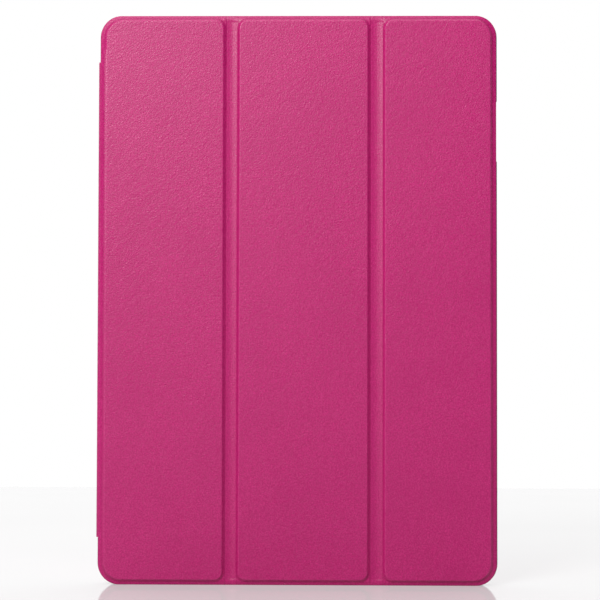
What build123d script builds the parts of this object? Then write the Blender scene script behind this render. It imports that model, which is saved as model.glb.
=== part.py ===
from build123d import *
import os

os.makedirs("parts", exist_ok=True)

# Tri-fold folio case for a 10.5 inch class tablet. Millimetres, +Z up.
# The case stands on its bottom edge, front cover towards -Y, spine towards -X.
# The origin is the middle of the bounding box's bottom.

# ---- the tablet that the case holds ----
tablet_width = 174.1
tablet_height = 250.6
tablet_depth = 6.1
tablet_corner = 7.75

# ---- layers, from the front to the back ----
skin_thickness = 0.8
board_thickness = 1.1
lining_thickness = 0.5
rim_gap = 0.3
lip_thickness = 0.9
bay_headroom = 0.1
back_lining_thickness = 0.4
floor_thickness = 1.2

# ---- tray ----
tablet_clearance = 0.15
wall_thickness = 1.7
lip_reach = 1.1
lip_arm = 15.0
back_edge_round = 1.2
back_skin_inset = 1.3
back_lining_inset = 0.6

# ---- openings in the tray's walls: length, and distance of the middle from an end of the wall ----
camera_length = 25.0
camera_height = 12.0
camera_from_side = 21.0
camera_from_top = 15.0
camera_skin_inset = 0.8
notch_round = 1.5
volume_length = 27.0
volume_from_top = 52.0
power_length = 15.0
power_from_side = 26.0
jack_length = 9.0
jack_from_side = 24.0
port_length = 15.0
speaker_length = 20.0
speaker_from_middle = 38.0

# ---- cover ----
cover_side_inset = 0.3
margin_side = 2.8
margin_end = 2.5
panel_1_width = 52.2
panel_2_width = 56.4
fold_1_width = 8.2
fold_2_width = 8.5
fold_side = 1.5
bevel = 1.05
panel_outer_corner = 7.5
panel_inner_corner = 3.3
board_inset = 0.2
board_corner_min = 1.0
crease_gap = 0.1
lining_inset = 0.4

# ---- spine ----
spine_end_gap = 21.0
spine_proud = 0.7
core_thickness = 0.8
core_inset_side = 0.9
core_inset_end = 3.0
spine_round = 0.5
hinge_gap = 0.3
corner_gap = 0.1

# ---- magnets and steel ----
closure_count = 5
closure_length = 12.0
closure_width = 3.0
closure_from_edge = 3.6
closure_from_end = 30.0
wake_radius = 3.0
wake_from_side = 12.0
wake_from_top = 26.0
steel_width = 8.0
steel_length = 190.0
steel_from_edge = 6.0
pocket_clearance = 0.1

# ---- derived: the tray's outline ----
bay_width = tablet_width + 2 * tablet_clearance
bay_height = tablet_height + 2 * tablet_clearance
bay_corner = tablet_corner + tablet_clearance
shell_width = bay_width + 2 * wall_thickness
shell_height = bay_height + 2 * wall_thickness
shell_corner = bay_corner + wall_thickness
overall_width = shell_width + spine_proud
left = -overall_width / 2
right = overall_width / 2
shell_left = left + spine_proud
shell_middle = (shell_left + right) / 2
middle_height = shell_height / 2

# ---- derived: depths, from the front face of the raised panels to the back ----
layers = [skin_thickness, board_thickness, lining_thickness, rim_gap, lip_thickness, tablet_depth]
layers += [bay_headroom, back_lining_thickness, floor_thickness, skin_thickness]
total_depth = sum(layers)
front = -total_depth / 2
margin_front = front + board_thickness
board_front = front + skin_thickness
lining_front = board_front + board_thickness
cover_back = lining_front + lining_thickness
rim = cover_back + rim_gap
lip_back = rim + lip_thickness
bay_back = lip_back + tablet_depth + bay_headroom
floor_front = bay_back + back_lining_thickness
skin_seat = floor_front + floor_thickness
back = skin_seat + skin_thickness

# ---- derived: the cover, from left to right ----
cover_left = shell_left + cover_side_inset
cover_right = right - cover_side_inset
cover_corner = shell_corner - cover_side_inset
panel_1_left = cover_left + margin_side
panel_1_right = panel_1_left + panel_1_width
panel_2_left = panel_1_right + fold_1_width
panel_2_right = panel_2_left + panel_2_width
panel_3_left = panel_2_right + fold_2_width
panel_3_right = cover_right - margin_side
stand_crease_1 = panel_1_right + fold_side
lift_fold_1 = panel_2_left - fold_side
stand_crease_2 = panel_2_right + fold_side
lift_fold_2 = panel_3_left - fold_side
raised_bottom = margin_end
raised_top = shell_height - margin_end

# ---- derived: the spine ----
spine_thickness = skin_thickness + core_thickness + lining_thickness
spine_front = cover_back + hinge_gap
spine_back = skin_seat - hinge_gap
spine_bottom = spine_end_gap
spine_top = shell_height - spine_end_gap


def block(x_low, x_high, y_low, y_high, z_low, z_high):
    """A box between these planes."""
    middle = ((x_low + x_high) / 2, (y_low + y_high) / 2, (z_low + z_high) / 2)
    return Pos(*middle) * Box(x_high - x_low, y_high - y_low, z_high - z_low)


def slab(outline, y_front, y_back):
    """A plate with this outline, seen from the front, between two depths."""
    return extrude(Plane.XZ.offset(-y_back) * outline, y_back - y_front)


def rectangle(x_low, x_high, z_low, z_high):
    """An outline between these sides."""
    middle = Pos((x_low + x_high) / 2, (z_low + z_high) / 2)
    return middle * Rectangle(x_high - x_low, z_high - z_low)


def round_side(outline, left_side, radius):
    """The outline with the two corners on one side rounded."""
    corners = outline.vertices().group_by(Axis.X)
    chosen = corners[0] if left_side else corners[-1]
    return fillet(chosen, radius)


def panel_outline(x_low, x_high, z_low, z_high, left_radius, right_radius):
    """An outline whose left and right corners have their own rounding; zero leaves them square."""
    outline = rectangle(x_low, x_high, z_low, z_high)
    if left_radius:
        outline = round_side(outline, True, left_radius)
    if right_radius:
        outline = round_side(outline, False, right_radius)
    return outline


def front_edges(solid):
    """The edges of the solid's frontmost face."""
    return solid.faces().sort_by(Axis.Y)[0].edges()


def save(solid, name):
    """Writes one node."""
    solid.label = name
    export_step(solid, "parts/" + name + ".step")


# ---- tray ----


def shell_outline():
    """The tray seen from the front."""
    whole = RectangleRounded(shell_width, shell_height, shell_corner)
    return Pos(shell_middle, middle_height) * whole


def bay_outline():
    """The room for the tablet, seen from the front."""
    whole = RectangleRounded(bay_width, bay_height, bay_corner)
    return Pos(shell_middle, middle_height) * whole


def mouth_outline():
    """The hole between the corner lips, through which the tablet is pressed in."""
    width = bay_width - 2 * lip_reach
    height = bay_height - 2 * lip_reach
    centre = Pos(shell_middle, middle_height)
    between = centre * RectangleRounded(width, height, bay_corner - lip_reach)
    arm = lip_arm - wall_thickness
    tall = centre * Rectangle(bay_width - 2 * arm, bay_height)
    wide = centre * Rectangle(bay_width, bay_height - 2 * arm)
    return between + tall + wide


def notch_in_end(middle, length, at_top):
    """A gap in the top or bottom wall, open towards the front."""
    z_low = shell_height - 2 * wall_thickness if at_top else -wall_thickness
    z_high = z_low + 3 * wall_thickness
    gap = block(middle - length / 2, middle + length / 2, rim - 1, floor_front - 0.6, z_low, z_high)
    deep = gap.edges().filter_by(Axis.Z).group_by(Axis.Y)[-1]
    return fillet(deep, notch_round)


def notch_in_side(middle, length):
    """A gap in the right wall, open towards the front."""
    x_low = right - 2 * wall_thickness
    x_high = right + wall_thickness
    gap = block(x_low, x_high, rim - 1, floor_front - 0.6, middle - length / 2, middle + length / 2)
    deep = gap.edges().filter_by(Axis.X).group_by(Axis.Y)[-1]
    return fillet(deep, notch_round)


def wall_notches():
    """Every gap in the tray's walls."""
    notches = [notch_in_side(shell_height - volume_from_top, volume_length)]
    notches.append(notch_in_end(right - power_from_side, power_length, True))
    notches.append(notch_in_end(shell_left + jack_from_side, jack_length, True))
    notches.append(notch_in_end(shell_middle, port_length, False))
    for side in (-1, 1):
        middle = shell_middle + side * speaker_from_middle
        notches.append(notch_in_end(middle, speaker_length, False))
    return notches


def camera_outline(grow):
    """The camera window seen from the front, grown by this much all round."""
    place = Pos(right - camera_from_side, shell_height - camera_from_top)
    width = camera_length + 2 * grow
    height = camera_height + 2 * grow
    return place * RectangleRounded(width, height, height / 2 - 0.01)


def spine_gap():
    """The room that the spine takes out of the tray's left side."""
    x_high = left + spine_thickness + hinge_gap
    z_low = spine_bottom - hinge_gap
    z_high = spine_top + hinge_gap
    return block(left - 1, x_high, rim - 1, skin_seat + 1, z_low, z_high)


def back_shell():
    """The hard tray: floor, walls and corner lips."""
    outer = slab(shell_outline(), rim, skin_seat)
    rear = outer.faces().sort_by(Axis.Y)[-1].edges()
    tray = fillet(rear, back_edge_round)
    tray -= slab(bay_outline(), lip_back, floor_front)
    tray -= slab(mouth_outline(), rim - 1, lip_back)
    tray -= slab(camera_outline(0), floor_front - 1, skin_seat + 1)
    for notch in wall_notches():
        tray -= notch
    tray -= spine_gap()
    return tray


def back_skin():
    """The sheet on the tray's back, with a flap that reaches the rear hinge."""
    width = shell_width - 2 * back_skin_inset
    height = shell_height - 2 * back_skin_inset
    whole = RectangleRounded(width, height, shell_corner - back_skin_inset)
    outline = Pos(shell_middle, middle_height) * whole
    outline += rectangle(left + corner_gap, shell_left + 10, spine_bottom, spine_top)
    sheet = slab(outline, skin_seat, back)
    return sheet - slab(camera_outline(camera_skin_inset), skin_seat - 1, back + 1)


def back_lining():
    """The soft sheet on the floor inside the tray."""
    width = bay_width - 2 * back_lining_inset
    height = bay_height - 2 * back_lining_inset
    whole = RectangleRounded(width, height, bay_corner - back_lining_inset)
    outline = Pos(shell_middle, middle_height) * whole
    sheet = slab(outline, bay_back, floor_front)
    return sheet - slab(camera_outline(camera_skin_inset), bay_back - 1, floor_front + 1)


# ---- spine ----


def spine_core():
    """The thin stiffener inside the spine."""
    x_low = left + skin_thickness
    x_high = x_low + core_thickness
    y_low = spine_front + core_inset_side
    y_high = spine_back - core_inset_side
    z_low = spine_bottom + core_inset_end
    z_high = spine_top - core_inset_end
    return block(x_low, x_high, y_low, y_high, z_low, z_high)


def spine_skin():
    """The outer sheet of the spine, folded round the stiffener's edges."""
    x_high = left + skin_thickness + core_thickness
    sheet = block(left, x_high, spine_front, spine_back, spine_bottom, spine_top)
    outside = sheet.faces().sort_by(Axis.X)[0].edges().filter_by(Axis.Z)
    return fillet(outside, spine_round) - spine_core()


def spine_lining():
    """The soft inner sheet of the spine."""
    x_low = left + skin_thickness + core_thickness
    x_high = x_low + lining_thickness
    return block(x_low, x_high, spine_front, spine_back, spine_bottom, spine_top)


# ---- cover ----


def region(number):
    """Left side, right side and corner roundings of a panel with its margins."""
    if number == 1:
        return cover_left, stand_crease_1 - crease_gap, cover_corner, 0
    if number == 2:
        return lift_fold_1 + crease_gap, stand_crease_2 - crease_gap, 0, 0
    return lift_fold_2 + crease_gap, cover_right, 0, cover_corner


def raised(number):
    """Left side, right side and corner roundings of a panel's raised face."""
    if number == 1:
        return panel_1_left, panel_1_right, panel_outer_corner, panel_inner_corner
    if number == 2:
        return panel_2_left, panel_2_right, panel_inner_corner, panel_inner_corner
    return panel_3_left, panel_3_right, panel_inner_corner, panel_outer_corner


def raised_outline(number, grow):
    """A panel's raised outline, grown by this much all round."""
    x_low, x_high, left_radius, right_radius = raised(number)
    left_radius = max(left_radius + grow, board_corner_min)
    right_radius = max(right_radius + grow, board_corner_min)
    z_low = raised_bottom - grow
    z_high = raised_top + grow
    return panel_outline(x_low - grow, x_high + grow, z_low, z_high, left_radius, right_radius)


def margin_outline(number, inset):
    """A panel with its margins, taken in by this much all round."""
    x_low, x_high, left_radius, right_radius = region(number)
    left_radius = left_radius and left_radius - inset
    right_radius = right_radius and right_radius - inset
    z_high = shell_height - inset
    return panel_outline(x_low + inset, x_high - inset, inset, z_high, left_radius, right_radius)


def spine_flap(y_front, y_back, inset):
    """The part of panel 1's margin that reaches out to the front hinge."""
    x_low = left + corner_gap + inset
    return block(x_low, cover_left + 10, y_front, y_back, spine_bottom + inset, spine_top - inset)


def metal_in(number):
    """The magnets or steel that a panel's board holds, as (node name, solids)."""
    if number == 1:
        return [("steel_strip", [steel_strip()])]
    if number == 3:
        return [("closure_magnets", closure_magnets()), ("wake_magnet", [wake_magnet()])]
    return []


def steel_strip():
    """The steel that the closure magnets hold to when the cover makes a stand."""
    x_low = panel_1_left + steel_from_edge - steel_width / 2
    z_low = middle_height - steel_length / 2
    z_high = middle_height + steel_length / 2
    return block(x_low, x_low + steel_width, board_front, lining_front, z_low, z_high)


def closure_magnets():
    """A row of bar magnets along the cover's free edge."""
    x_middle = panel_3_right - closure_from_edge
    spacing = (shell_height - 2 * closure_from_end) / (closure_count - 1)
    bars = []
    for index in range(closure_count):
        z_middle = closure_from_end + index * spacing
        z_low = z_middle - closure_length / 2
        z_high = z_middle + closure_length / 2
        x_low = x_middle - closure_width / 2
        bars.append(block(x_low, x_low + closure_width, board_front, lining_front, z_low, z_high))
    return bars


def wake_magnet():
    """The disc that switches the tablet's screen off when the cover is shut."""
    place = Pos(panel_3_right - wake_from_side, shell_height - wake_from_top)
    return slab(place * Circle(wake_radius), board_front, lining_front)


def pocket(solid):
    """The room that a magnet or steel strip needs in its board."""
    box = solid.bounding_box()
    x_low = box.min.X - pocket_clearance
    x_high = box.max.X + pocket_clearance
    z_low = box.min.Z - pocket_clearance
    z_high = box.max.Z + pocket_clearance
    return block(x_low, x_high, board_front - 1, lining_front + 1, z_low, z_high)


def panel_board(number):
    """The stiff board that gives a panel its raised face."""
    return slab(raised_outline(number, -board_inset), board_front, lining_front)


def panel_skin(number):
    """The outer sheet of a panel, pressed over its board."""
    foot = slab(raised_outline(number, bevel), front, margin_front)
    sheet = chamfer(front_edges(foot), bevel)
    sheet += slab(margin_outline(number, 0), margin_front, lining_front)
    if number == 1:
        sheet += spine_flap(margin_front, lining_front, 0)
    return sheet - panel_board(number)


def panel_lining(number):
    """The soft inner sheet of a panel."""
    sheet = slab(margin_outline(number, 0), lining_front, cover_back)
    if number == 1:
        sheet += spine_flap(lining_front, cover_back, 0)
    return sheet


def save_panel(number):
    """Writes a panel's skin, board, lining and metal."""
    board = panel_board(number)
    for name, solids in metal_in(number):
        for solid in solids:
            board -= pocket(solid)
        save(Compound(children=solids) if len(solids) > 1 else solids[0], name)
    save(board, f"panel_{number}_board")
    save(panel_skin(number), f"panel_{number}_skin")
    save(panel_lining(number), f"panel_{number}_lining")


def fold_sheet(number, y_front, y_back):
    """One layer of a fold strip."""
    low = stand_crease_1 if number == 1 else stand_crease_2
    high = lift_fold_1 if number == 1 else lift_fold_2
    return block(low + crease_gap, high - crease_gap, y_front, y_back, 0, shell_height)


save(back_shell(), "back_shell")
save(back_skin(), "back_skin")
save(back_lining(), "back_lining")
save(spine_skin(), "spine_skin")
save(spine_core(), "spine_core")
save(spine_lining(), "spine_lining")
for panel in (1, 2, 3):
    save_panel(panel)
for fold in (1, 2):
    save(fold_sheet(fold, margin_front, lining_front), f"fold_{fold}_skin")
    save(fold_sheet(fold, lining_front, cover_back), f"fold_{fold}_lining")
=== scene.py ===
import math

import bmesh
import bpy
import numpy as np
from mathutils import Matrix, Vector


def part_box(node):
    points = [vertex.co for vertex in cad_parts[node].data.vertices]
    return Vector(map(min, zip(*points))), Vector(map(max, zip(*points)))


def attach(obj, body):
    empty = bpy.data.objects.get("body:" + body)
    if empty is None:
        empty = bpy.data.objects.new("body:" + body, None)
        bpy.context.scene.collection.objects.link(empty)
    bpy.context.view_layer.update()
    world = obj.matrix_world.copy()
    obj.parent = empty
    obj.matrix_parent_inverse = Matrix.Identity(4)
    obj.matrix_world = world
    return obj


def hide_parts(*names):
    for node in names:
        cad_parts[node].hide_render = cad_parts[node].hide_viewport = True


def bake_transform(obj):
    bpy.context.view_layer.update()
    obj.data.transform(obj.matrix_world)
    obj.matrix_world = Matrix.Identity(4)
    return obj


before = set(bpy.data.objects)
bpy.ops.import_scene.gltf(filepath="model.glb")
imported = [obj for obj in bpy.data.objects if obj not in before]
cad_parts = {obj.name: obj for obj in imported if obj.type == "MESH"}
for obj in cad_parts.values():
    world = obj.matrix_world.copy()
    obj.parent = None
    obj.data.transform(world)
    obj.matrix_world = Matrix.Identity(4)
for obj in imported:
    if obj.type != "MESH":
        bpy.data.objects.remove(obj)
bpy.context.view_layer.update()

# Tri-fold folio case for a tablet. Metres, +Z up, cover towards -Y, spine towards -X.
# The leather-look sheet runs from the cover's free edge over the three panels, round the
# spine and over the back. It is cut where nothing bends: in the middle of the spine, of
# panels 1 and 2 and of the fold strips. Each piece spans one hinge.
MM = 0.001

# ---- shared sizes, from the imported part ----
shell_low, shell_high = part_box("back_shell")
back_low, back_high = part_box("back_skin")
spine_low, spine_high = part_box("spine_skin")
tray_lining_low, tray_lining_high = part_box("back_lining")
height = shell_high.z
cover_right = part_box("panel_3_skin")[1].x
cover_left = shell_low.x + shell_high.x - cover_right
margin_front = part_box("fold_1_skin")[0].y
skin_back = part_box("fold_1_skin")[1].y
cover_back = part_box("fold_1_lining")[1].y
raised_height = margin_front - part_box("panel_2_skin")[0].y
spine_left = spine_low.x
spine_lining_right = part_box("spine_lining")[1].x
spine_bottom = spine_low.z
spine_top = spine_high.z
spine_middle = (back_high.y + margin_front) / 2
lining_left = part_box("spine_lining")[0].x

# ---- shared sizes of the making ----
board_inset = 0.2 * MM
bevel = 1.05 * MM
cover_corner = 9.3 * MM
outer_corner = 7.5 * MM
inner_corner = 3.3 * MM
edge_round = 0.2 * MM
roll_width = 2.3 * MM
roll_depth = 0.6 * MM
spine_roll = 3.9 * MM
spine_roll_fade = 9.0 * MM
channel_depth = 0.45 * MM
channel_spill = 0.3 * MM
wrap_round = 2.2 * MM
back_wrap_round = 1.4 * MM
back_corner = 8.3 * MM
tray_lining_corner = 7.3 * MM
window_length = 25.0 * MM
window_height = 12.0 * MM
window_from_side = 21.0 * MM
window_from_top = 15.0 * MM
window_inset = 0.8 * MM
edge_mark_reach = 0.3 * MM
reach_of_crease = 0.35 * MM
touch = 0.0001 * MM
far_off = 1.0


def crease_between(left_node, right_node):
    """The middle of the thin gap between two neighbours of the cover."""
    return (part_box(left_node)[1].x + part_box(right_node)[0].x) / 2


creases = [
    crease_between("panel_1_skin", "fold_1_skin"),
    crease_between("fold_1_skin", "panel_2_skin"),
    crease_between("panel_2_skin", "fold_2_skin"),
    crease_between("fold_2_skin", "panel_3_skin"),
]

# how far each panel's left raised side lies over its groove
groove_overlap = {1: 0.0, 2: 0.7 * MM, 3: 0.4 * MM}


def raised_sides(number):
    """The left and right side of a panel's raised face."""
    low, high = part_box(f"panel_{number}_board")
    return low.x - board_inset - groove_overlap[number], high.x + board_inset


raised_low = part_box("panel_1_board")[0].z - board_inset
raised_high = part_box("panel_1_board")[1].z + board_inset


# ---- nodes ----


def add_node(tree, kind, inputs=None, **settings):
    """A node with its settings and its inputs, by name or by place."""
    node = tree.nodes.new(kind)
    for key, value in settings.items():
        setattr(node, key, value)
    for key, value in (inputs or {}).items():
        if isinstance(value, bpy.types.NodeSocket):
            tree.links.new(value, node.inputs[key])
        else:
            node.inputs[key].default_value = value
    return node


class Finish:
    """A material that is being built, with short ways to add its nodes."""

    def __init__(self, name):
        self.material = bpy.data.materials.new(name)
        self.material.use_nodes = True
        self.tree = self.material.node_tree
        self.tree.nodes.clear()
        self.output = self.tree.nodes.new("ShaderNodeOutputMaterial")

    def add(self, kind, inputs=None, **settings):
        """A node of this finish."""
        return add_node(self.tree, kind, inputs, **settings)

    def math(self, operation, first, second=0.0, third=0.0):
        """One sum."""
        inputs = {0: first, 1: second, 2: third}
        return self.add("ShaderNodeMath", inputs, operation=operation).outputs[0]

    def scaled(self, vector, scale, turn=0.0):
        """The pattern's place, turned in the cover's plane and then scaled."""
        turned = self.add("ShaderNodeMapping", {"Vector": vector, "Rotation": (0, turn, 0)})
        inputs = {"Vector": turned.outputs[0], "Scale": scale}
        return self.add("ShaderNodeMapping", inputs).outputs[0]

    def noise(self, vector, scale, detail=3.0, roughness=0.5):
        """Soft random shades from 0 to 1."""
        inputs = {"Vector": vector, "Scale": scale, "Detail": detail, "Roughness": roughness}
        return self.add("ShaderNodeTexNoise", inputs).outputs[0]

    def cells(self, vector, scale, feature="DISTANCE_TO_EDGE"):
        """Pebbles of random shape; the distance to each one's edge."""
        inputs = {"Vector": vector, "Scale": scale, "Randomness": 1.0}
        node = self.add("ShaderNodeTexVoronoi", inputs, feature=feature)
        return node.outputs["Distance"]

    def ramp(self, value, low, high, out_low=0.0, out_high=1.0):
        """A value brought smoothly from one range to another."""
        inputs = {
            "Value": value,
            "From Min": low,
            "From Max": high,
            "To Min": out_low,
            "To Max": out_high,
        }
        node = self.add("ShaderNodeMapRange", inputs, interpolation_type="SMOOTHSTEP")
        return node.outputs[0]

    def mix(self, share, first, second):
        """Two colours mixed."""
        inputs = {0: share, 6: first, 7: second}
        return self.add("ShaderNodeMix", inputs, data_type="RGBA").outputs[2]

    def mix_value(self, share, first, second):
        """Two values mixed."""
        inputs = {0: share, 2: first, 3: second}
        return self.add("ShaderNodeMix", inputs, data_type="FLOAT").outputs[0]

    def pushed(self, vector, scale, amount):
        """The pattern's place pushed about by noise, so that nothing runs straight."""
        inputs = {"Vector": vector, "Scale": scale, "Detail": 2.0}
        result = self.add("ShaderNodeTexNoise", inputs).outputs["Color"]
        steps = (
            ("SUBTRACT", {1: (0.5, 0.5, 0.5)}),
            ("SCALE", {"Scale": amount}),
            ("ADD", {1: vector}),
        )
        for operation, inputs in steps:
            node = self.add("ShaderNodeVectorMath", {0: result, **inputs}, operation=operation)
            result = node.outputs[0]
        return result

    def bump(self, height_value, distance, under=None):
        """Relief from a height; distance is the relief's full depth in metres. It may lie on
        another relief."""
        inputs = {"Height": height_value, "Distance": distance, "Strength": 1.0}
        if under:
            inputs["Normal"] = under
        return self.add("ShaderNodeBump", inputs).outputs[0]

    def surface(self, **sockets):
        """The finish's shader. Underscores in the names stand for spaces."""
        inputs = {key.replace("_", " "): value for key, value in sockets.items()}
        shader = self.add("ShaderNodeBsdfPrincipled", inputs)
        self.tree.links.new(shader.outputs[0], self.output.inputs[0])
        return self.material

    def rest_place(self):
        """Where each point lies when the case is shut, in millimetres. It moves with the sheet."""
        stored = self.add("ShaderNodeAttribute", attribute_name="rest")
        return self.scaled(stored.outputs["Vector"], (1000, 1000, 1000))

    def object_place(self):
        """The place on a rigid piece, in millimetres."""
        place = self.add("ShaderNodeTexCoord").outputs["Object"]
        return self.scaled(place, (1000, 1000, 1000))

    def stored(self, name):
        """A value that is stored with the mesh."""
        return self.add("ShaderNodeAttribute", attribute_name=name).outputs["Fac"]


def pressed_leather():
    """Pink leather-look sheet: pebble grain, long faint wrinkles, paler edges that are partly wear
    and partly a painted highlight along the raised panels' top edges, and painted shade at the
    panels' feet and crease lines.
    """
    light_pink = (0.65, 0.024, 0.214, 1)
    pink = (0.60, 0.020, 0.197, 1)
    dark_pink = (0.49, 0.0005, 0.137, 1)
    pore_shade = (0.40, 0.004, 0.115, 1)
    wrinkle_shade = (0.40, 0.012, 0.11, 1)
    painted_shade_pink = (0.32, 0.002, 0.085, 1)
    scuff_and_highlight_pink = (0.68, 0.07, 0.26, 1)
    f = Finish("pressed_leather")
    place = f.rest_place()
    pebbles = f.ramp(f.cells(f.pushed(place, 0.9, 0.5), 0.95), 0.0, 0.45)
    pores = f.ramp(f.cells(f.pushed(place, 2.5, 0.25), 2.1), 0.0, 0.4)
    bent = f.pushed(f.pushed(place, 0.05, 9.0), 0.35, 1.6)
    wrinkles_up = f.cells(f.scaled(bent, (0.3, 0.2, 0.09), -0.75), 1.0)
    wrinkles_up = f.ramp(wrinkles_up, 0.0, 0.28)
    wrinkles_across = f.cells(f.scaled(bent, (0.27, 0.2, 0.1), -1.25), 1.0)
    wrinkles_across = f.ramp(wrinkles_across, 0.0, 0.25)
    areas = f.noise(place, 0.022, 2.0)
    wrinkles_up = f.mix_value(f.ramp(areas, 0.42, 0.62), 1.0, wrinkles_up)
    wrinkles_across = f.mix_value(f.ramp(areas, 0.56, 0.4), 1.0, wrinkles_across)
    wrinkles = f.math("MULTIPLY", wrinkles_up, wrinkles_across)
    grain = f.math("MULTIPLY_ADD", pebbles, 0.6, f.math("MULTIPLY", pores, 0.4))
    swell = f.noise(f.pushed(place, 0.8, 0.4), 1.7, 1.0, 0.5)
    relief = f.bump(f.math("MULTIPLY_ADD", grain, 0.25, swell), 0.095 * MM)
    wear_and_highlight = f.stored("wear_and_highlight_edge")
    crease = f.stored("painted_crease_shade")
    patches = f.noise(place, 0.035, 3.0)
    mottle = f.noise(place, 1.5, 2.0, 0.5)
    colour = f.mix(f.ramp(patches, 0.3, 0.7), pink, light_pink)
    colour = f.mix(f.ramp(mottle, 0.3, 0.7), colour, dark_pink)
    colour = f.mix(f.ramp(grain, 0.0, 0.6, 0.35, 0.0), colour, pore_shade)
    colour = f.mix(f.ramp(wrinkles, 0.0, 1.0, 0.07, 0.0), colour, wrinkle_shade)
    # painted shade: darker at the raised panels' feet and along the crease lines
    colour = f.mix(f.ramp(crease, 0.0, 1.0, 0.0, 0.3), colour, painted_shade_pink)
    # paler scuffs: wear, and a painted highlight along the raised panels' top edges
    scuffs_and_highlight = f.math("MULTIPLY", wear_and_highlight, f.ramp(f.noise(place, 0.8, 4.0), 0.3, 0.65, 0.35, 1.0))
    colour = f.mix(f.ramp(scuffs_and_highlight, 0.0, 1.0, 0.0, 0.4), colour, scuff_and_highlight_pink)
    gloss = f.ramp(f.noise(place, 0.3, 4.0, 0.6), 0.3, 0.7, 0.32, 0.37)
    gloss = f.math("MULTIPLY_ADD", f.ramp(grain, 0.0, 0.6, 1.0, 0.0), 0.12, gloss)
    gloss = f.math("MULTIPLY_ADD", wear_and_highlight, -0.08, gloss)
    return f.surface(
        Base_Color=colour,
        Roughness=gloss,
        Normal=f.bump(wrinkles, 0.018 * MM, relief),
        Specular_IOR_Level=0.54,
    )


def brushed_suede(name, dark, light):
    """Short-napped microfibre with brushed patches, painted shade in its creases and paler edges
    that are partly wear and partly a painted sheen.
    """
    f = Finish(name)
    place = f.rest_place()
    brushed = f.pushed(f.scaled(place, (0.08, 0.08, 0.03), 0.5), 1.0, 0.6)
    brushed = f.noise(brushed, 1.0, 4.0, 0.6)
    nap = f.noise(f.pushed(place, 1.2, 0.4), 3.2, 4.0, 0.7)
    fibres = f.noise(f.scaled(place, (9.0, 4.0, 2.5), 0.4), 1.0, 3.0, 0.6)
    crease = f.stored("painted_crease_shade")
    wear_and_highlight = f.stored("wear_and_highlight_edge")
    colour = f.mix(f.ramp(brushed, 0.35, 0.65), dark, light)
    deep = tuple(0.55 * part for part in dark[:3]) + (1,)
    colour = f.mix(f.ramp(nap, 0.3, 0.7, 0.45, 0.0), colour, deep)
    # painted shade at the pressed feet and along the crease lines
    colour = f.mix(f.ramp(crease, 0.0, 1.0, 0.0, 0.45), colour, deep)
    shiny = tuple(min(1.4 * part + 0.02, 1) for part in light[:3]) + (1,)
    # paler along the wear-and-highlight mask: wear, and a painted sheen
    colour = f.mix(f.ramp(wear_and_highlight, 0.0, 1.0, 0.0, 0.25), colour, shiny)
    fuzz = f.math("MULTIPLY_ADD", nap, 0.6, f.math("MULTIPLY", fibres, 0.4))
    roughness = f.ramp(brushed, 0.3, 0.7, 0.86, 0.93)
    return f.surface(
        Base_Color=colour,
        Roughness=roughness,
        Normal=f.bump(fuzz, 0.12 * MM),
        Sheen_Weight=0.35,
        Sheen_Roughness=0.4,
        Specular_IOR_Level=0.2,
    )


def moulded_plastic():
    """Deep pink tray plastic with a fine spark-eroded texture and light handling marks."""
    f = Finish("moulded_plastic")
    place = f.object_place()
    erosion = f.noise(place, 5.5, 4.0, 0.65)
    swirl = f.noise(f.pushed(place, 0.03, 6.0), 0.05, 3.0)
    rubs = f.noise(f.scaled(f.pushed(place, 0.05, 4.0), (0.3, 0.3, 3.0), 0.6), 1.0, 5.0, 0.65)
    colour = f.mix(f.ramp(swirl, 0.35, 0.65), (0.33, 0.010, 0.095, 1), (0.39, 0.014, 0.115, 1))
    colour = f.mix(f.ramp(erosion, 0.3, 0.7, 0.3, 0.0), colour, (0.25, 0.006, 0.07, 1))
    colour = f.mix(f.ramp(rubs, 0.62, 0.78, 0.0, 0.14), colour, (0.55, 0.09, 0.24, 1))
    roughness = f.ramp(rubs, 0.3, 0.75, 0.5, 0.36)
    return f.surface(
        Base_Color=colour,
        Roughness=roughness,
        Normal=f.bump(erosion, 0.03 * MM),
        Specular_IOR_Level=0.5,
    )


def pressed_board():
    """Grey stiffening board with pulp fibres."""
    f = Finish("pressed_board")
    place = f.object_place()
    pulp = f.noise(f.pushed(place, 0.8, 1.0), 1.6, 5.0, 0.65)
    flecks = f.cells(f.scaled(place, (0.9, 0.9, 0.25), 0.6), 1.0, "F1")
    colour = f.mix(f.ramp(pulp, 0.3, 0.7), (0.27, 0.26, 0.25, 1), (0.40, 0.39, 0.37, 1))
    colour = f.mix(f.ramp(flecks, 0.0, 0.14, 0.5, 0.0), colour, (0.12, 0.11, 0.10, 1))
    return f.surface(
        Base_Color=colour,
        Roughness=f.ramp(pulp, 0.2, 0.8, 0.8, 0.95),
        Normal=f.bump(pulp, 0.06 * MM),
    )


def rolled_steel():
    """Steel strip with rolling lines along its length."""
    f = Finish("rolled_steel")
    place = f.object_place()
    lines = f.noise(f.scaled(place, (14.0, 14.0, 0.12)), 1.0, 4.0, 0.6)
    blotches = f.noise(place, 0.12, 4.0)
    colour = f.mix(f.ramp(blotches, 0.35, 0.7), (0.62, 0.62, 0.63, 1), (0.50, 0.50, 0.50, 1))
    return f.surface(
        Base_Color=colour,
        Metallic=1.0,
        Roughness=f.ramp(lines, 0.3, 0.7, 0.22, 0.42),
        Normal=f.bump(lines, 0.01 * MM),
    )


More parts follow.
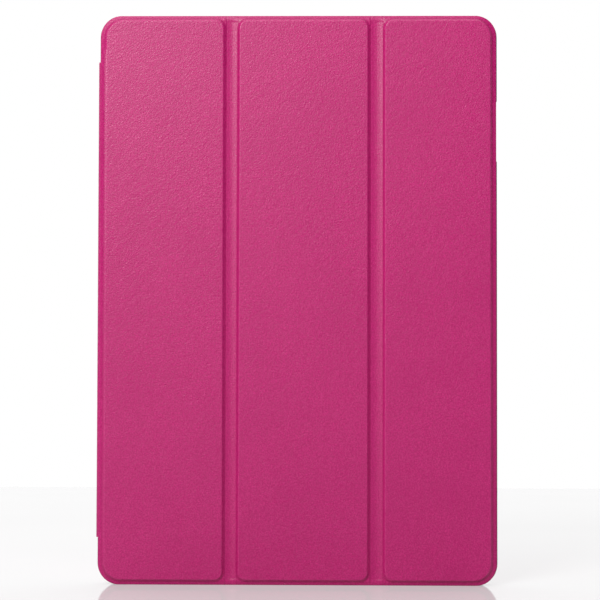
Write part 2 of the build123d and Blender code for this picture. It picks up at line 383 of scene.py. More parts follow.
def nickel_plate():
    """Nickel-plated magnets with faint tumbling marks."""
    f = Finish("nickel_plate")
    place = f.object_place()
    marks = f.noise(place, 3.5, 5.0, 0.7)
    haze = f.noise(place, 0.6, 3.0)
    colour = f.mix(f.ramp(haze, 0.35, 0.7), (0.72, 0.71, 0.69, 1), (0.62, 0.61, 0.60, 1))
    return f.surface(
        Base_Color=colour,
        Metallic=1.0,
        Roughness=f.ramp(marks, 0.35, 0.75, 0.12, 0.3),
        Normal=f.bump(marks, 0.006 * MM),
    )


leather = pressed_leather()
cover_suede = brushed_suede("cover_suede", (0.335, 0.028, 0.120, 1), (0.375, 0.034, 0.138, 1))
tray_suede = brushed_suede("tray_suede", (0.305, 0.024, 0.108, 1), (0.345, 0.031, 0.126, 1))
tray_plastic = moulded_plastic()
board_stock = pressed_board()
strip_steel = rolled_steel()
magnet_plate = nickel_plate()


# ---- shapes seen from the front ----


def outside(x, z, box, left_round, right_round):
    """How far a point lies outside an outline with rounded corners; negative inside."""
    x_low, x_high, z_low, z_high = box
    x_middle = (x_low + x_high) / 2
    z_middle = (z_low + z_high) / 2
    radius = np.where(x < x_middle, left_round, right_round)
    beyond_x = np.abs(x - x_middle) - (x_high - x_low) / 2 + radius
    beyond_z = np.abs(z - z_middle) - (z_high - z_low) / 2 + radius
    far = np.hypot(np.maximum(beyond_x, 0), np.maximum(beyond_z, 0))
    return far + np.minimum(np.maximum(beyond_x, beyond_z), 0) - radius


def corner_block(side_steps, end_steps, rounds, even):
    """Points of one corner, as distances from the side and from the end. Each ring of points
    runs round the corner with its own rounding."""
    last = len(side_steps) - 1
    from_side = np.zeros((last + 1, last + 1))
    from_end = np.zeros((last + 1, last + 1))
    for ring in range(last + 1):
        for steps, other, swap in ((side_steps, end_steps, False), (end_steps, side_steps, True)):
            room = steps[last] - steps[ring]
            radius = min(rounds[ring], room, other[last] - other[ring])
            arc = math.pi / 4 * radius
            for index in range(ring, last + 1):
                if ring == last:
                    share = 0
                elif even:
                    share = (index - ring) / (last - ring)
                else:
                    share = (steps[index] - steps[ring]) / room
                run = share * (arc + room - radius)
                if run < arc:
                    turn = math.pi / 4 - run / radius
                    along = steps[ring] + radius * (1 - math.sin(turn))
                    across = other[ring] + radius * (1 - math.cos(turn))
                else:
                    along = steps[ring] + radius + run - arc
                    across = other[ring]
                if swap:
                    from_side[ring, index], from_end[ring, index] = across, along
                else:
                    from_side[index, ring], from_end[index, ring] = along, across
    return from_side, from_end


def ringed_grid(box, left, right, end_steps, columns, rows):
    """A grid of points whose outer rings follow rounded corners. left and right are the side's
    steps, roundings and whether its corner points are evenly spaced."""
    x_low, x_high, z_low, z_high = box
    last = len(end_steps) - 1
    x_line = np.concatenate([x_low + left[0][:-1], columns, x_high - right[0][-2::-1]])
    z_line = np.concatenate([z_low + end_steps[:-1], rows, z_high - end_steps[-2::-1]])
    x, z = np.meshgrid(x_line, z_line, indexing="ij")
    from_start = slice(None, last + 1)
    from_finish = slice(None, -last - 2, -1)
    sides = ((left, from_start, x_low, 1), (right, from_finish, x_high, -1))
    for rings, across, edge, sign in sides:
        from_side, from_end = corner_block(rings[0], end_steps, rings[1], rings[2])
        x[across, from_start] = edge + sign * from_side
        z[across, from_start] = z_low + from_end
        x[across, from_finish] = edge + sign * from_side
        z[across, from_finish] = z_high - from_end
    return x, z


def spaced(start, stop, step):
    """Evenly spaced numbers with both ends, about this far apart."""
    count = max(1, round(abs(stop - start) / step))
    return np.linspace(start, stop, count + 1)


def rows_between(low, high, step):
    """Rows along the case's height, closer together at the two ends of the spine."""
    near = np.array([-1.2, -0.5, -0.2, 0.0, 0.2, 0.5, 1.2, 2.4]) * MM
    parts = [
        spaced(low, spine_bottom + near[0], step)[:-1],
        spine_bottom + near,
        spaced(spine_bottom + near[-1], spine_top - near[-1], step)[1:-1],
        spine_top - near[::-1],
        spaced(spine_top - near[0], high, step)[1:],
    ]
    return np.concatenate(parts)


skin_press = {
    "Raised height": raised_height,
    "Bevel width": bevel,
    "Edge softness": 0.3 * MM,
    "Foot softness": 0.8 * MM,
    "Crease depth": 0.06 * MM,
    "Crease width": 0.3 * MM,
    "Channel depth": channel_depth,
}
lining_step = 0.16 * MM
lining_press = {
    "Raised height": -lining_step,
    "Bevel width": 0.5 * MM,
    "Edge softness": 0.1 * MM,
    "Foot softness": 0.06 * MM,
    "Crease depth": -0.14 * MM,
    "Crease width": 0.3 * MM,
    "Channel depth": 0.0,
}

# ---- the cover's grid: three panels with their margins, and two fold strips ----

up_the_bevel = [0.1, 0.2, 0.32, 0.46, 0.6, 0.74, 0.86, 0.96, 1.05]
over_the_face = [1.14, 1.25, 1.4, 1.65, 2.1, 3.0, 4.5, 6.5, 8.55]
bevel_steps = np.array(up_the_bevel + over_the_face) * MM
margin_end = raised_low - bevel
margin_side = raised_sides(1)[0] - bevel - cover_left
margin_crease = creases[0] - raised_sides(1)[1] - bevel


def steps_over(margin, edge):
    """Distances of the rings from the outside: over a margin, then up the bevel."""
    if edge:
        near_edge = np.array([0, 0.05, 0.12, 0.22]) * MM
        near_foot = margin - np.array([0.22, 0.09]) * MM
        flat = np.concatenate([near_edge, [0.5 * margin], near_foot])
    else:
        flat = np.linspace(0, margin, ring_at_foot + 1)[:-1]
    return np.concatenate([flat, [margin], margin + bevel_steps])


ring_at_foot = 7
end_steps = steps_over(margin_end, True)


def side(margin, edge_corner, raised_corner, edge):
    """The rings of one side of a panel: steps, roundings and spacing."""
    foot = raised_corner + bevel
    rounds = np.linspace(edge_corner, foot, ring_at_foot + 1)
    rounds = np.concatenate([rounds, np.maximum(foot - bevel_steps, 0)])
    return steps_over(margin, edge), rounds, edge


outer_side = side(margin_side, cover_corner, outer_corner, True)
crease_side = side(margin_crease, 0.0, inner_corner, False)
cover_rows = rows_between(end_steps[-1], height - end_steps[-1], 3.2 * MM)
panel_edges = {
    1: (cover_left, creases[0]),
    2: (creases[1], creases[2]),
    3: (creases[3], cover_right),
}
panel_sides = {
    1: (outer_side, crease_side),
    2: (crease_side, crease_side),
    3: (crease_side, outer_side),
}
panel_rounds = {
    1: (outer_corner, inner_corner),
    2: (inner_corner, inner_corner),
    3: (inner_corner, outer_corner),
}


def panel_grid(number):
    """Points of one panel with its margins, and the column in its middle."""
    x_low, x_high = panel_edges[number]
    left, right = panel_sides[number]
    columns = spaced(x_low + left[0][-1], x_high - right[0][-1], 2.4 * MM)
    x, z = ringed_grid((x_low, x_high, 0, height), left, right, end_steps, columns, cover_rows)
    return x, z, len(left[0]) - 1 + len(columns) // 2


def strip_grid(x_low, x_high, rows):
    """Points of one fold strip between its crease lines, with the lines left out."""
    near = np.array([0.08, 0.16, 0.26, 0.4, 0.58, 0.8, 1.1, 1.45, 1.9]) * MM
    middle = (x_low + x_high) / 2
    x_line = np.concatenate([x_low + near, [middle], x_high - near[::-1]])
    return np.meshgrid(x_line, rows, indexing="ij")


def cover_grid():
    """All the cover's points, and the columns at which its pieces are cut."""
    parts = []
    cuts = []
    count = 0
    for number in (1, 2, 3):
        x, z, middle = panel_grid(number)
        cuts.append(count + middle)
        parts.append((x, z))
        count += len(x)
        if number < 3:
            x, z = strip_grid(creases[2 * number - 2], creases[2 * number - 1], z[-1])
            cuts.append(count + len(x) // 2)
            parts.append((x, z))
            count += len(x)
    return *(np.concatenate(part) for part in zip(*parts)), cuts[:4]


cover_x, cover_z, cuts = cover_grid()


def along_spine(z):
    """Whether each point lies between the spine's two ends."""
    return (z >= spine_bottom - touch) & (z <= spine_top + touch)


beside_spine = along_spine(cover_z)
spine_rows = beside_spine[len(cover_x) // 2]
cover_box = (cover_left, cover_right, 0, height)


def inward(x, z):
    """How far each point lies inside the foot of the nearest raised panel; negative outside."""
    best = np.full(x.shape, -1.0)
    for number in (1, 2, 3):
        x_low, x_high = raised_sides(number)
        box = (x_low, x_high, raised_low, raised_high)
        left_round, right_round = panel_rounds[number]
        best = np.maximum(best, bevel - outside(x, z, box, left_round, right_round))
    return best


def in_channel(x):
    """How deep each point lies in a fold strip's channel, from 0 at its sides to 1 midway."""
    deep = np.zeros(x.shape)
    for low, high in ((creases[0], creases[1]), (creases[2], creases[3])):
        half = (high - low) / 2 + channel_spill
        across = np.clip(1 - ((x - (low + high) / 2) / half) ** 2, 0, 1)
        deep = np.maximum(deep, across)
    return deep


def from_crease(x):
    """How far each point lies from the nearest crease line."""
    return np.min([np.abs(x - line) for line in creases], axis=0)


def edge_fall(inside, radius):
    """How far a sheet's face falls back at its rounded edge."""
    short = np.clip(radius - inside, 0, radius)
    return radius - np.sqrt(np.maximum(radius**2 - short**2, 0))


def edge_roll(inside):
    """How far the cover's margins roll back towards their edge."""
    short = np.clip(1 - inside / roll_width, 0, 1)
    return roll_depth * short**1.4


def smooth_min(a, b, softness):
    """The smaller of two values, blended softly, like the node of that name."""
    near = np.maximum(softness - np.abs(a - b), 0) / softness
    return np.minimum(a, b) - near**3 * softness / 6


def pressed_height(d):
    """How far the pressing lifts a point that lies d inside a panel's foot."""
    topped = smooth_min(d * raised_height / bevel, raised_height, skin_press["Edge softness"])
    return -smooth_min(-topped, 0.0, skin_press["Foot softness"])


def rolled_left_side(x, z, y):
    """The depth of the cover's face with its left side rolled from panel 1 right round to the
    spine, without a flat margin. The roll fades out towards the corners."""
    start = raised_sides(1)[0] + 0.25 * MM
    share = np.clip((start - x) / spine_roll, 0, 1)
    rolled = margin_front - raised_height + spine_roll * (1 - np.sqrt(np.maximum(1 - share**2, 0)))
    from_end = np.clip(np.minimum(z, height - z) / spine_roll_fade - 1, 0, 1)
    weight = from_end**2 * (3 - 2 * from_end) * (x < start)
    return y + weight * (rolled + pressed_height(inward(x, z)) - y)


# ---- the way round the spine ----

wrap_turns = np.radians([34, 41, 48, 55, 62, 69, 76, 83, 90])
back_wrap_turns = np.radians([10, 20, 30, 40, 50, 60, 70, 80, 90])
# depths of the straight run's columns, closer together at the hinges
at_front_hinge = [-2.72, -2.6, -2.45, -2.3, -2.15, -2.0, -1.8, -1.5]
at_back_hinge = [4.55, 4.4, 4.25, 4.1, 3.95, 3.8, 3.65, 3.5]
spine_runs_front = np.array(at_front_hinge + [-1.2, -0.8, -0.4, 0.1]) * MM
spine_runs_back = np.array(at_back_hinge + [3.35, 3.1, 2.6, 1.8]) * MM
inner_wrap_round = 0.25 * MM


def wrap_line(x_flat, y_flat, y_inward, radius, turns, runs):
    """The way round one edge of the spine, from the flat sheet to the spine's middle.
    y_inward is +1 at the front edge and -1 at the back edge."""
    x_centre = x_flat + radius
    y_centre = y_flat + y_inward * radius
    x = x_centre - radius * np.sin(turns)
    y = y_centre - y_inward * radius * np.cos(turns)
    runs = np.append(runs, spine_middle)
    return np.concatenate([x, np.full(len(runs), x_flat)]), np.concatenate([y, runs])


def wrap_grid(line_x, line_y, rows):
    """The way round the spine's edge, repeated at every row."""
    wrap = np.zeros((len(line_x), len(rows), 3))
    wrap[:, :, 0] = line_x[::-1, None]
    wrap[:, :, 1] = line_y[::-1, None]
    wrap[:, :, 2] = rows[None, :]
    return wrap


# ---- closed sheets from grids of points ----


def sheet_mesh(name, outer, inner, used, hole=None):
    """A closed sheet between two grids of points. used says which cells it has; along the
    cells of the hole it stays open."""
    columns, rows = used.shape
    number = np.arange((columns + 1) * (rows + 1)).reshape(columns + 1, rows + 1)
    second = number + number.size
    opened = np.zeros_like(used) if hole is None else hole
    faces = []
    sides = (
        (-1, 0, (0, 0), (0, 1)),
        (1, 0, (1, 1), (1, 0)),
        (0, -1, (1, 0), (0, 0)),
        (0, 1, (0, 1), (1, 1)),
    )
    for i, j in np.argwhere(used):
        ring = [number[i, j], number[i + 1, j], number[i + 1, j + 1], number[i, j + 1]]
        faces.append(ring)
        faces.append([corner + number.size for corner in reversed(ring)])
        for step_i, step_j, (ai, aj), (bi, bj) in sides:
            near_i = i + step_i
            near_j = j + step_j
            inside = 0 <= near_i < columns and 0 <= near_j < rows
            if inside and (used[near_i, near_j] or opened[near_i, near_j]):
                continue
            first = (i + ai, j + aj)
            last = (i + bi, j + bj)
            faces.append([number[first], number[last], second[last], second[first]])
    points = np.concatenate([outer.reshape(-1, 3), inner.reshape(-1, 3)])
    wanted = np.unique(np.array([corner for face in faces for corner in face]))
    place = np.full(len(points), -1)
    place[wanted] = np.arange(len(wanted))
    mesh = bpy.data.meshes.new(name)
    rings = [[int(place[corner]) for corner in face] for face in faces]
    mesh.from_pydata(points[wanted].tolist(), [], rings)
    return mesh, wanted


def store(mesh, name, values):
    """Stores one value for each point of the mesh."""
    layer = mesh.attributes.new(name, "FLOAT", "POINT")
    layer.data.foreach_set("value", np.asarray(values, dtype=np.float32))


def store_rest(mesh):
    """Stores where each point lies at rest, for the finishes."""
    points = np.zeros(len(mesh.vertices) * 3, dtype=np.float32)
    mesh.vertices.foreach_get("co", points)
    layer = mesh.attributes.new("rest", "FLOAT_VECTOR", "POINT")
    layer.data.foreach_set("vector", points)


def face_outwards(mesh):
    """Turns the closed mesh's faces outwards, and keeps its corners crisp."""
    work = bmesh.new()
    work.from_mesh(mesh)
    bmesh.ops.recalc_face_normals(work, faces=work.faces)
    work.to_mesh(mesh)
    work.free()
    mesh.polygons.foreach_set("use_smooth", [True] * len(mesh.polygons))
    mesh.set_sharp_from_angle(angle=math.radians(42))


# ---- pressing the sheets, with geometry nodes ----

press_sizes = tuple(skin_press)


def press_tree():
    """Geometry nodes that press raised panels and crease lines into a flat sheet."""
    tree = bpy.data.node_groups.new("press_panels", "GeometryNodeTree")
    tree.interface.new_socket("Geometry", in_out="INPUT", socket_type="NodeSocketGeometry")
    for name in press_sizes:
        tree.interface.new_socket(name, in_out="INPUT", socket_type="NodeSocketFloat")
    tree.interface.new_socket("Finish", in_out="INPUT", socket_type="NodeSocketMaterial")
    tree.interface.new_socket("Geometry", in_out="OUTPUT", socket_type="NodeSocketGeometry")
    given = add_node(tree, "NodeGroupInput").outputs

    def result_of(operation, *values):
        inputs = dict(enumerate(values))
        return add_node(tree, "ShaderNodeMath", inputs, operation=operation).outputs[0]

    def stored_value(name):
        kind = "GeometryNodeInputNamedAttribute"
        return add_node(tree, kind, {"Name": name}, data_type="FLOAT").outputs["Attribute"]

    full = result_of("ABSOLUTE", given["Raised height"])
    slope = result_of("DIVIDE", full, given["Bevel width"])
    ramp = result_of("MULTIPLY", stored_value("inward"), slope)
    topped = result_of("SMOOTH_MIN", ramp, full, given["Edge softness"])
    raised = result_of("SMOOTH_MAX", topped, 0.0, given["Foot softness"])
    signed = result_of("MULTIPLY", raised, result_of("SIGN", given["Raised height"]))
    reach = result_of("DIVIDE", stored_value("from_crease"), given["Crease width"])
    fall = result_of("MULTIPLY", result_of("MULTIPLY", reach, reach), -1.0)
    valley = result_of("MULTIPLY", result_of("EXPONENT", fall), given["Crease depth"])
    channel = result_of("MULTIPLY", stored_value("in_channel"), given["Channel depth"])
    back = result_of("SUBTRACT", result_of("ADD", valley, channel), signed)
    offset = add_node(tree, "ShaderNodeCombineXYZ", {"Y": back}).outputs[0]
    moved = {"Geometry": given["Geometry"], "Offset": offset}
    moved = add_node(tree, "GeometryNodeSetPosition", moved).outputs[0]
    real = add_node(tree, "GeometryNodeRealizeInstances", {0: moved}).outputs[0]
    painted = {"Geometry": real, "Material": given["Finish"]}
    painted = add_node(tree, "GeometryNodeSetMaterial", painted).outputs[0]
    add_node(tree, "NodeGroupOutput", {0: painted})
    return tree


pressing = press_tree()


def put_in_scene(name, mesh, finish):
    """An object of this mesh, at the origin."""
    piece = bpy.data.objects.new(name, mesh)
    bpy.context.scene.collection.objects.link(piece)
    if not mesh.materials:
        mesh.materials.append(finish)
    return piece


def pressed_sheet(name, mesh, finish, sizes):
    """A sheet after pressing, as a plain mesh."""
    mesh.materials.append(finish)
    piece = put_in_scene(name, mesh, finish)
    modifier = piece.modifiers.new("press", "NODES")
    modifier.node_group = pressing
    for item in pressing.interface.items_tree:
        if item.in_out == "INPUT" and item.name in sizes:
            modifier[item.identifier] = sizes[item.name]
        if item.in_out == "INPUT" and item.name == "Finish":
            modifier[item.identifier] = finish
    bpy.context.view_layer.update()
    pressed = piece.evaluated_get(bpy.context.evaluated_depsgraph_get())
    final = bpy.data.meshes.new_from_object(pressed)
    piece.modifiers.remove(modifier)
    piece.data = final
    final.name = name
    face_outwards(final)
    store_rest(final)
    return piece


# ---- the cover's two sheets, and the spine's front half ----


def crowded_beside_spine(x, stop):
    """The columns beside the spine, crowded to the right of stop."""
    reach = 1.9 * MM
    limit = cover_left + reach
    share = (x - cover_left) / reach
    return np.where(x < limit, stop + share * (limit - stop), x)


def cover_face(face_y, spine_x, radius, fall_round, fall_sign, rolled):
    """One face of the cover's sheet and of the spine's front half: (columns, rows, 3)."""
    x = cover_x
    z = cover_z
    inside = -outside(x, z, cover_box, cover_corner, cover_corner)
    y = face_y + fall_sign * edge_fall(inside, fall_round)
    near = beside_spine & (x < cover_left + 2.0 * MM)
    x_centre = spine_x + radius
    if rolled:
        y = rolled_left_side(x, z, y + edge_roll(inside))
    elif spine_x < cover_left:
        turned = np.maximum(x_centre - x, 0)
        rounded = face_y + radius - np.sqrt(np.maximum(radius**2 - turned**2, 0))
        y = np.where(near, rounded, y)
    else:
        x = np.where(near, crowded_beside_spine(x, x_centre + 0.02 * MM), x)
        y = np.where(near, face_y, y)
    line_x, line_y = wrap_line(spine_x, face_y, 1, radius, wrap_turns, spine_runs_front)
    flat = np.stack([x, y, z], axis=-1)
    return np.concatenate([wrap_grid(line_x, line_y, z[0]), flat])


def cells_used(columns):
    """Which cells the sheet has: beyond the cover's edge only those of the spine."""
    used = np.ones((columns - 1, cover_x.shape[1] - 1), dtype=bool)
    wrap_columns = columns - len(cover_x)
    spine_cells = spine_rows[:-1] & spine_rows[1:]
    used[:wrap_columns, :] = spine_cells[None, :]
    return used


skin_outer = cover_face(margin_front, spine_left, wrap_round, edge_round, 1, True)
skin_inner = cover_face(skin_back, lining_left, inner_wrap_round, 0.0, 0, False)
lining_face = cover_back - lining_step
lining_outer = cover_face(lining_face, spine_lining_right, 0.1 * MM, 0.12 * MM, -1, False)
wrap_columns = len(skin_outer) - len(cover_x)
used_cells = cells_used(len(skin_outer))


def near_zero(distance, reach):
    """1 where the distance is nothing, fading out over the reach."""
    return np.exp(-((distance / reach) ** 2))


def cover_values(grid, shift, facing_out):
    """What the pressing and the finishes need at each point of one face: distance inside the
    panels' feet, distance from a crease, a mask of wear and painted highlight, and a mask of
    painted shade."""
    x = grid[:, :, 0]
    z = grid[:, :, 2]
    d = inward(x, z) - shift
    c = from_crease(x)
    if not facing_out:
        c = c + far_off
    d[:wrap_columns] = -far_off
    c[:wrap_columns] = far_off
    inside = -outside(x, z, cover_box, cover_corner, cover_corner)
    inside[:wrap_columns] = far_off
    # wear at the cover's outline and a painted highlight along the raised panels' top edges;
    # painted shade at the panels' feet and crease lines
    wear_and_highlight = near_zero(d - 0.95 * bevel, edge_mark_reach) + 0.2 * near_zero(inside, edge_mark_reach)
    deep = near_zero(d, edge_mark_reach) + 0.8 * near_zero(c, reach_of_crease)
    channel = in_channel(x) if facing_out else np.zeros(x.shape)
    channel = channel * np.clip(inside / roll_width - 0.25, 0, 1)
    channel[:wrap_columns] = 0
    return d, c, channel, np.clip(wear_and_highlight, 0, 1), np.clip(deep, 0, 1)


def cover_piece(name, first, last, faces, shifts, finish, sizes):
    """One piece of a cover sheet between two of its columns."""
    outer, inner = faces
    span = slice(first, last + 1)
    mesh, wanted = sheet_mesh(name, outer[span], inner[span], used_cells[first:last])
    out_values = cover_values(outer, shifts[0], True)
    in_values = cover_values(inner, shifts[1], False)
    labels = ("inward", "from_crease", "in_channel", "wear_and_highlight_edge", "painted_crease_shade")
    for label, a, b in zip(labels, out_values, in_values):
        both = np.concatenate([a[span].ravel(), b[span].ravel()])
        store(mesh, label, both[wanted])
    face_outwards(mesh)
    return pressed_sheet(name, mesh, finish, sizes)


cut_columns = [0] + [wrap_columns + cut for cut in cuts] + [len(skin_outer) - 1]
cover_bodies = ["spine", "panel_1", "fold_1", "panel_2", "fold_2", "panel_3"]

# a board's edge shows through the lining a little inside the bevel's foot
inner_shift = 0.33 * MM
lining_shift = bevel - 0.35 * MM

# layer, its two faces, how far inside the panels' feet each is pressed, finish, pressing
layer_plans = (
    ("skin", (skin_outer, skin_inner), (0.0, inner_shift), leather, skin_press),
    ("lining", (lining_outer, skin_inner), (lining_shift, far_off), cover_suede, lining_press),
)
for layer, faces, shifts, finish, sizes in layer_plans:
    for index in range(5):
        body_a, body_b = cover_bodies[index], cover_bodies[index + 1]
        first, last = cut_columns[index], cut_columns[index + 1]
        name = f"{layer}_{body_a}_to_{body_b}"
        piece = cover_piece(name, first, last, faces, shifts, finish, sizes)
        if index == 0:
            nodes = [f"spine_{layer}"]
        else:
            nodes = [f"{body_a}_{layer}"]
        if index == 4:
            nodes.append(f"panel_3_{layer}")
        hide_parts(*nodes)
        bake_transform(piece)


# ---- the back's sheet, the spine's back half and the tray's lining ----

window = (
    shell_high.x - window_from_side - window_length / 2 - window_inset,
    shell_high.x - window_from_side + window_length / 2 + window_inset,
    height - window_from_top - window_height / 2 - window_inset,
    height - window_from_top + window_height / 2 + window_inset,
)
window_round = (window[3] - window[2]) / 2


def window_ring(grow, y):
    """Points round the camera window, grown by this much, at one depth."""
    radius = window_round + grow
    points = []
    for side_sign, x_centre in ((1, window[1] - window_round), (-1, window[0] + window_round)):
        for turn in np.linspace(-math.pi / 2, math.pi / 2, 25):
            x = x_centre + side_sign * radius * math.cos(turn)
            z = (window[2] + window[3]) / 2 + side_sign * radius * math.sin(turn)
            points.append((x, y, z))
    return points


def add_window(mesh, rings, y_outer, y_inner):
    """Closes the sheet between its open cells and the camera window's edge."""
    work = bmesh.new()
    work.from_mesh(mesh)
    open_edges = [edge for edge in work.edges if len(edge.link_faces) == 1]
    loops = [[work.verts.new(point) for point in points] for points in rings]
    count = len(rings[0])
    ring_edges = []
    for loop in loops:
        pairs = zip(loop, loop[1:] + loop[:1])
        ring_edges.append([work.edges.new(pair) for pair in pairs])
    for near, far in zip(loops, loops[1:]):
        for k in range(count):
            after = (k + 1) % count
            work.faces.new((near[k], near[after], far[after], far[k]))
    middle = (y_outer + y_inner) / 2
    for ring, y in ((0, y_outer), (len(rings) - 1, y_inner)):
        rim = [edge for edge in open_edges if (edge.verts[0].co.y > middle) == (y > middle)]
        edges = rim + ring_edges[ring]
        bmesh.ops.triangle_fill(work, use_beauty=True, edges=edges, normal=(0, 1, 0))
    work.to_mesh(mesh)
    work.free()


def flat_steps(corner):
    """Distances of a flat sheet's rings from its edge."""
    near = np.array([0, 0.05, 0.12, 0.22, 0.4, 0.8, 1.4]) * MM
    return np.concatenate([near, np.linspace(2.2 * MM, corner, 7)])


def flat_sheet(name, low, high, corner, y_outer, y_inner, radius, flap):
    """A flat sheet with rounded corners and the camera window. With a flap, it goes on round
    the spine's back edge."""
    steps = flat_steps(corner)
    rounds = corner - steps
    side_rings = (steps, rounds, True)
    columns = spaced(low.x + corner, high.x - corner, 4.0 * MM)
    rows = rows_between(low.z + corner, high.z - corner, 4.0 * MM)
    box = (low.x, high.x, low.z, high.z)
    x, z = ringed_grid(box, side_rings, side_rings, steps, columns, rows)
    inside = -outside(x, z, box, corner, corner)
    away = 1 if y_inner > y_outer else -1
    outer_y = y_outer + away * edge_fall(inside, radius)
    inner_y = np.full(x.shape, y_inner)
    middle_x = (x[:-1, :-1] + x[1:, 1:]) / 2
    middle_z = (z[:-1, :-1] + z[1:, 1:]) / 2
    hole = outside(middle_x, middle_z, window, window_round, window_round) < 2.2 * MM
    outer = np.stack([x, outer_y, z], axis=-1)
    inner = np.stack([x, inner_y, z], axis=-1)
    used = ~hole
    if flap:
        rows_line = z[len(x) // 2]
        beside_flap = along_spine(z) & (x < low.x + 2 * MM)
        outer[:, :, 1] = np.where(beside_flap, y_outer, outer[:, :, 1])
        # line's x, flat depth, roundness, and the flat columns' distances from the spine's left
        lines = (
            (spine_left, y_outer, back_wrap_round, [1.85, 1.65, 1.45]),
            (lining_left, y_inner, inner_wrap_round, [1.93, 1.90, 1.87]),
        )
        flaps = []
        for x_flat, y_flat, roundness, from_left in lines:
            shape = (roundness, back_wrap_turns, spine_runs_back)
            line_x, line_y = wrap_line(x_flat, y_flat, -1, *shape)
            line_x = np.concatenate([spine_left + np.array(from_left) * MM, line_x])
            line_y = np.concatenate([[y_flat] * len(from_left), line_y])
            flaps.append(wrap_grid(line_x, line_y, rows_line))
        outer = np.concatenate([flaps[0], outer])
        inner = np.concatenate([flaps[1], inner])
        on_spine = along_spine(rows_line)
        extra = np.tile((on_spine[:-1] & on_spine[1:])[None, :], (len(flaps[0]), 1))
        used = np.concatenate([extra, used])
        hole = np.concatenate([np.zeros_like(extra), hole])
    mesh, _ = sheet_mesh(name, outer, inner, used, hole)
    # the window's rounded edge: how far outside it and how deep each ring lies
    rolled_edge = ((0.5, 0), (0.3, 0), (0.14, 0.03), (0.04, 0.1), (0, 0.2))
    rings = [window_ring(grow * MM, y_outer + away * deep * MM) for grow, deep in rolled_edge]
    rings += [window_ring(0, y_inner), window_ring(0.3 * MM, y_inner)]
    add_window(mesh, rings, y_outer, y_inner)
    points = np.array([vertex.co for vertex in mesh.vertices])
    inside = -outside(points[:, 0], points[:, 2], box, corner, corner)
    wear_and_highlight = 0.8 * near_zero(inside, edge_mark_reach)
    at_window = outside(points[:, 0], points[:, 2], window, window_round, window_round)
    wear_and_highlight += 0.6 * near_zero(at_window, edge_mark_reach)
    wear_and_highlight = np.where(points[:, 0] < low.x - 0.01 * MM, 0, wear_and_highlight)
    store(mesh, "wear_and_highlight_edge", np.clip(wear_and_highlight, 0, 1))
    store(mesh, "painted_crease_shade", np.zeros(len(points)))
    face_outwards(mesh)
    store_rest(mesh)
    return mesh


back_mesh = flat_sheet(
    "skin_back_to_spine",
    Vector((shell_low.x + 1.3 * MM, 0, back_low.z)),
    back_high,
    back_corner,
    back_high.y,
    back_low.y,
    0.3 * MM,
    True,
)
back_piece = put_in_scene("skin_back_to_spine", back_mesh, leather)
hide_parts("back_skin")
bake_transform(back_piece)

tray_mesh = flat_sheet(
    "tray_lining",
    tray_lining_low,
    tray_lining_high,
    tray_lining_corner,
    tray_lining_low.y,
    tray_lining_high.y,
    0.15 * MM,
    False,
)
tray_piece = put_in_scene("tray_lining", tray_mesh, tray_suede)
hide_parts("back_lining")
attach(tray_piece, "back")


def spine_lining_back():
    """The back half of the spine's lining, which ends under the back's sheet."""
    runs = np.concatenate([[back_low.y, 5.0 * MM, 4.75 * MM], spine_runs_back, [spine_middle]])
    middle_rows = spaced(spine_bottom + 2 * MM, spine_top - 2 * MM, 6 * MM)
    rows = np.concatenate([[spine_bottom], middle_rows, [spine_top]])
    y, z = np.meshgrid(runs, rows, indexing="ij")
    outer = np.stack([np.full(y.shape, spine_lining_right), y, z], axis=-1)
    inner = np.stack([np.full(y.shape, lining_left), y, z], axis=-1)
    used = np.ones((len(runs) - 1, len(rows) - 1), dtype=bool)
    mesh, _ = sheet_mesh("lining_back_to_spine", outer, inner, used)
    store(mesh, "wear_and_highlight_edge", np.zeros(len(mesh.vertices)))
    store(mesh, "painted_crease_shade", np.zeros(len(mesh.vertices)))
    face_outwards(mesh)
    store_rest(mesh)
    return mesh


# It is 4.7 mm wide, but declared 11 mm wide, because a declared sheet is at least 10 mm wide.
spine_piece = put_in_scene("lining_back_to_spine", spine_lining_back(), cover_suede)
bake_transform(spine_piece)

# ---- finishes of the hard parts ----


def finish_node(node, finish):
    """Gives a part of the frame its finish."""
    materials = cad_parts[node].data.materials
    materials.clear()
    materials.append(finish)


finish_node("back_shell", tray_plastic)
for node in ("spine_core", "panel_1_board", "panel_2_board", "panel_3_board"):
    finish_node(node, board_stock)
finish_node("steel_strip", strip_steel)
finish_node("closure_magnets", magnet_plate)
finish_node("wake_magnet", magnet_plate)

# ---- floor, light and camera ----


def glossy_floor():
    """Pale polished floor."""
    f = Finish("polished_floor")
    place = f.object_place()
    cloud = f.noise(place, 0.004, 3.0)
    colour = f.mix(f.ramp(cloud, 0.3, 0.7), (0.80, 0.795, 0.80, 1), (0.82, 0.815, 0.82, 1))
    gloss = {"Base Color": colour, "Roughness": 0.06, "IOR": 1.42}
    polish = f.add("ShaderNodeBsdfPrincipled", gloss)
    seen = f.add("ShaderNodeEmission", {"Color": colour, "Strength": 0.94})
    felt = f.add("ShaderNodeBsdfDiffuse", {"Color": (0.25, 0.25, 0.25, 1)})
    to_eye = f.add("ShaderNodeLightPath").outputs["Is Camera Ray"]
    base = f.add("ShaderNodeMixShader", {0: to_eye, 1: felt.outputs[0], 2: seen.outputs[0]})
    both = f.add("ShaderNodeMixShader", {0: 0.54, 1: base.outputs[0], 2: polish.outputs[0]})
    f.tree.links.new(both.outputs[0], f.output.inputs[0])
    return f.material


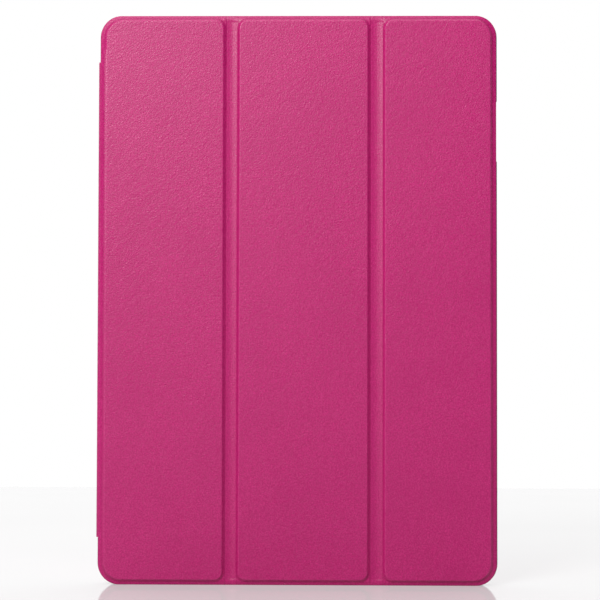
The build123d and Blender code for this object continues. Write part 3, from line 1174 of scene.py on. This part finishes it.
def floor_sheet():
    """The floor: a flat sheet from in front of the camera to a little behind the case."""
    mesh = bpy.data.meshes.new("floor")
    work = bmesh.new()
    side = 4.0
    front = -3.0
    back = 0.78
    corners = [(-side, front, 0), (side, front, 0), (side, back, 0), (-side, back, 0)]
    work.faces.new([work.verts.new(corner) for corner in corners])
    bmesh.ops.subdivide_edges(work, edges=work.edges[:], cuts=7, use_grid_fill=True)
    work.to_mesh(mesh)
    work.free()
    floor = bpy.data.objects.new("floor", mesh)
    bpy.context.scene.collection.objects.link(floor)
    mesh.materials.append(glossy_floor())


floor_sheet()


def studio_air():
    """White all round for the eye, softer and dimmer as light."""
    world = bpy.data.worlds.new("studio_air")
    bpy.context.scene.world = world
    world.use_nodes = True
    tree = world.node_tree
    tree.nodes.clear()
    white = {"Color": (1, 1, 1, 1), "Strength": 1.0}
    seen = add_node(tree, "ShaderNodeBackground", white).outputs[0]
    place = add_node(tree, "ShaderNodeTexCoord").outputs["Generated"]
    split = add_node(tree, "ShaderNodeSeparateXYZ", {0: place})
    front_to_back = {
        "Value": split.outputs["Y"],
        "From Min": 0.0,
        "From Max": 0.5,
        "To Min": 0.07,
        "To Max": 1.62,
    }
    kind = "ShaderNodeMapRange"
    strength = add_node(tree, kind, front_to_back, interpolation_type="SMOOTHSTEP").outputs[0]
    lit = add_node(tree, "ShaderNodeBackground", {"Strength": strength}).outputs[0]
    to_eye = add_node(tree, "ShaderNodeLightPath").outputs["Is Camera Ray"]
    both = add_node(tree, "ShaderNodeMixShader", {0: to_eye, 1: lit, 2: seen}).outputs[0]
    add_node(tree, "ShaderNodeOutputWorld", {0: both})


studio_air()


def soft_light(name, place, aim, width, depth, power):
    """A soft box."""
    lamp = bpy.data.lights.new(name, "AREA")
    lamp.shape = "RECTANGLE"
    lamp.size = width
    lamp.size_y = depth
    lamp.energy = power
    box = bpy.data.objects.new(name, lamp)
    box.location = place
    box.rotation_euler = (Vector(aim) - Vector(place)).to_track_quat("-Z", "Y").to_euler()
    bpy.context.scene.collection.objects.link(box)


soft_light("key_light", (-0.5, -1.2, 0.84), (0.0, 0.0, 0.15), 0.5, 0.5, 16.9)
soft_light("upper_light", (-0.15, -0.55, 1.2), (0.0, 0.0, 0.15), 0.6, 0.3, 2.2)
soft_light("top_light", (0.0, 0.5, 1.3), (0.0, 0.5, 0.0), 1.4, 1.4, 5.0)

bpy.context.scene.view_settings.view_transform = "Standard"

camera_data = bpy.data.cameras.new("camera")
camera = bpy.data.objects.new("camera", camera_data)
bpy.context.scene.collection.objects.link(camera)
turn = math.radians(1.0)
tilt = math.radians(-2.2)
lean = math.radians(0.13)
camera_distance = 0.9
level = math.cos(tilt)
away = Vector((math.sin(turn) * level, -math.cos(turn) * level, math.sin(tilt)))
target = Vector((1.3 * MM, 0, height / 2 - 0.29 * MM))
camera.location = target + away * camera_distance
aimed = (-away).to_track_quat("-Z", "Y").to_matrix()
camera.rotation_euler = (aimed @ Matrix.Rotation(lean, 3, "Z")).to_euler()
camera_data.lens = 120.4
camera_data.sensor_width = 36
bpy.context.scene.camera = camera
